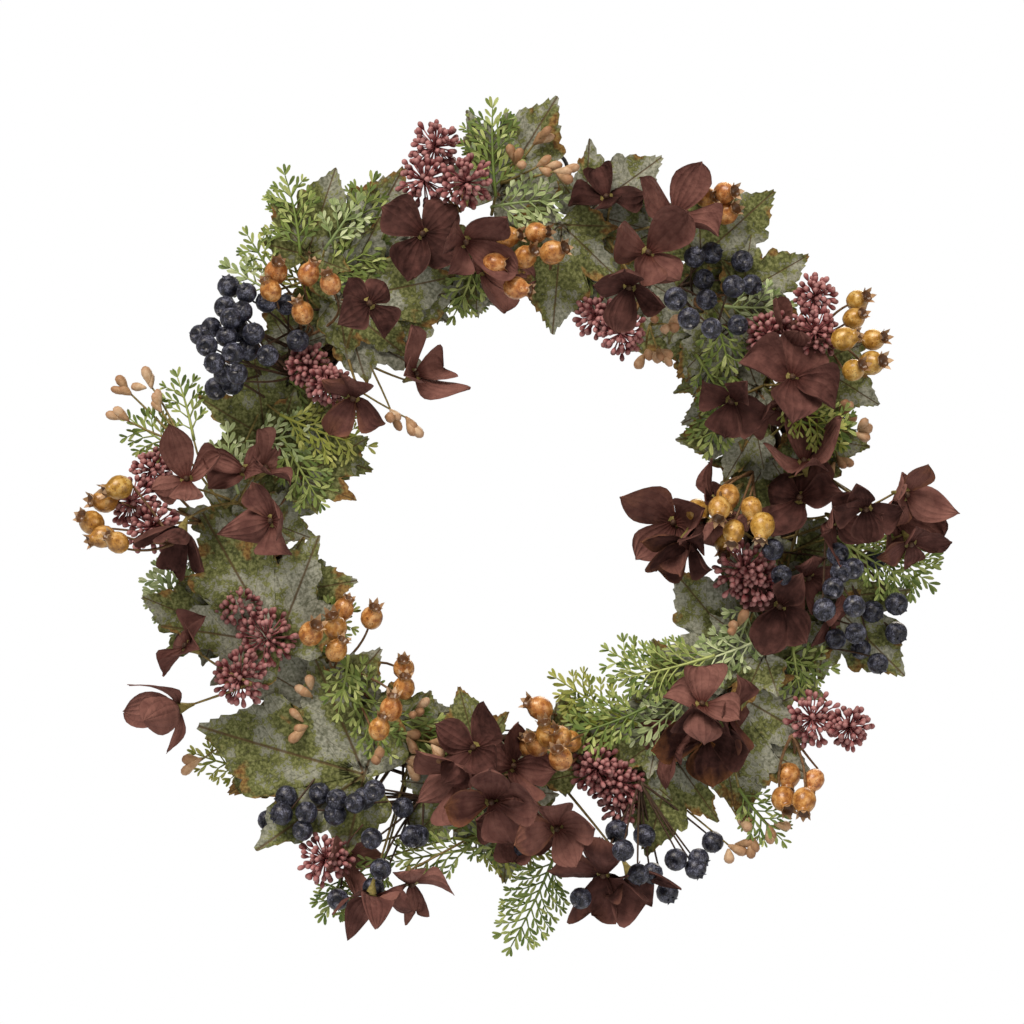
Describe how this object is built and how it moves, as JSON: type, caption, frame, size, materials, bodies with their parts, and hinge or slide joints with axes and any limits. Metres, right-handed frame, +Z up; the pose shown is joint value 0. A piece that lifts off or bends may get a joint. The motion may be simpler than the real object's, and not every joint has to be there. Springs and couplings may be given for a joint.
{
  "type": "harvest door wreath",
  "caption": "Round door wreath: a vine ring dressed with artificial maple leaves, ferns, hydrangeas, berries and rose hips, hung by a wire loop.",
  "frame": {"origin": "the point inside the top of the wire loop that rests on a hook", "axes": "+Z up, as the wreath hangs; the wreath's front faces -Y; +X is to the right seen from the front"},
  "size_m": [0.4995, 0.1385, 0.5023],
  "materials": {
    "vine": "dry dark brown twig bark, rough",
    "black_wire": "black coated steel wire, satin",
    "maple_fabric": "printed polyester leaf, grey-green with olive and ochre blotches, matte",
    "fern_plastic": "moulded soft plastic, mid green, satin",
    "sedum_foam": "coated foam buds, dusty rose-purple, matte",
    "bud_plastic": "moulded plastic buds, tan, satin",
    "hydrangea_fabric": "stamped polyester petals, burgundy brown, matte",
    "rose_hip_lacquer": "lacquered foam hips, orange to yellow, gloss",
    "blueberry_plastic": "dark blue plastic berries with a pale bloom, satin"
  },
  "bodies": {
    "wreath": {"binding_wire_1": "black_wire", "blueberries_left": "blueberry_plastic", "blueberries_low_left": "blueberry_plastic", "blueberries_right": "blueberry_plastic", "blueberries_top_right": "blueberry_plastic", "bud_sprig_inner_top": "bud_plastic", "bud_sprig_low_left": "bud_plastic", "bud_sprig_right": "bud_plastic", "bud_sprig_top": "bud_plastic", "fern_bottom": "fern_plastic", "fern_left": "fern_plastic", "fern_low_left": "fern_plastic", "fern_low_right": "fern_plastic", "fern_right": "fern_plastic", "fern_top": "fern_plastic", "fern_top_left": "fern_plastic", "hanger_bracket": "black_wire", "hydrangea_bottom": "hydrangea_fabric", "hydrangea_far_right": "hydrangea_fabric", "hydrangea_hanging": "hydrangea_fabric", "hydrangea_inner_right": "hydrangea_fabric", "hydrangea_left": "hydrangea_fabric", "hydrangea_low_right": "hydrangea_fabric", "hydrangea_right": "hydrangea_fabric", "hydrangea_right_high": "hydrangea_fabric", "hydrangea_top_left": "hydrangea_fabric", "hydrangea_top_right": "hydrangea_fabric", "hydrangea_upper_left": "hydrangea_fabric", "maple_bottom": "maple_fabric", "maple_left": "maple_fabric", "maple_low_left": "maple_fabric", "maple_low_right": "maple_fabric", "maple_right_high": "maple_fabric", "maple_right_low": "maple_fabric", "maple_top": "maple_fabric", "maple_top_left": "maple_fabric", "maple_top_right": "maple_fabric", "rose_hips_bottom": "rose_hip_lacquer", "rose_hips_inner_right": "rose_hip_lacquer", "rose_hips_low_left": "rose_hip_lacquer", "rose_hips_top": "rose_hip_lacquer", "rose_hips_top_left": "rose_hip_lacquer", "sedum_inner_top": "sedum_foam", "sedum_left": "sedum_foam", "sedum_low_left": "sedum_foam", "sedum_low_right": "sedum_foam", "sedum_right_high": "sedum_foam", "sedum_top": "sedum_foam", "sedum_upper_left": "sedum_foam", "vine_strand_1": "vine", "vine_strand_2": "vine", "vine_strand_3": "vine", "vine_strand_4": "vine"},
    "hanging_loop": {"hanging_loop": "black_wire"},
    "hydrangea_low_left": {"hydrangea_low_left": "hydrangea_fabric"},
    "bud_sprig_left": {"bud_sprig_left": "bud_plastic"},
    "blueberries_low_right": {"blueberries_low_right": "blueberry_plastic"},
    "rose_hips_right": {"rose_hips_right": "rose_hip_lacquer"},
    "rose_hips_left": {"rose_hips_left": "rose_hip_lacquer"},
    "rose_hips_low_right": {"rose_hips_low_right": "rose_hip_lacquer"}
  },
  "joints": [
    {"name": "hanging_loop_turn", "type": "hinge", "parent": "wreath", "child": "hanging_loop", "pos_m": [0, 0, -0.042], "axis": [1, 0, 0], "range_deg": [-90, 0]},
    {"name": "hydrangea_low_left_bend", "type": "hinge", "parent": "wreath", "child": "hydrangea_low_left", "pos_m": [-0.16043, -0.07034, -0.31609], "axis": [-0.5592, 0, 0.829], "range_deg": [0, 20]},
    {"name": "bud_sprig_left_bend", "type": "hinge", "parent": "wreath", "child": "bud_sprig_left", "pos_m": [-0.20194, -0.05548, -0.17691], "axis": [0.1908, 0, 0.9816], "range_deg": [0, 25]},
    {"name": "blueberries_low_right_bend", "type": "hinge", "parent": "wreath", "child": "blueberries_low_right", "pos_m": [0.06484, -0.04242, -0.37382], "axis": [-0.9063, 0, -0.4226], "range_deg": [0, 20]},
    {"name": "rose_hips_right_bend", "type": "hinge", "parent": "wreath", "child": "rose_hips_right", "pos_m": [0.17063, -0.06683, -0.11444], "axis": [0.4848, 0, -0.8746], "range_deg": [0, 25]},
    {"name": "rose_hips_left_bend", "type": "hinge", "parent": "wreath", "child": "rose_hips_left", "pos_m": [-0.20447, -0.08492, -0.2348], "axis": [-0.1045, 0, 0.9945], "range_deg": [0, 25]},
    {"name": "rose_hips_low_right_bend", "type": "hinge", "parent": "wreath", "child": "rose_hips_low_right", "pos_m": [0.15366, -0.05591, -0.34647], "axis": [-0.6293, 0, -0.7771], "range_deg": [0, 25]}
  ]
}
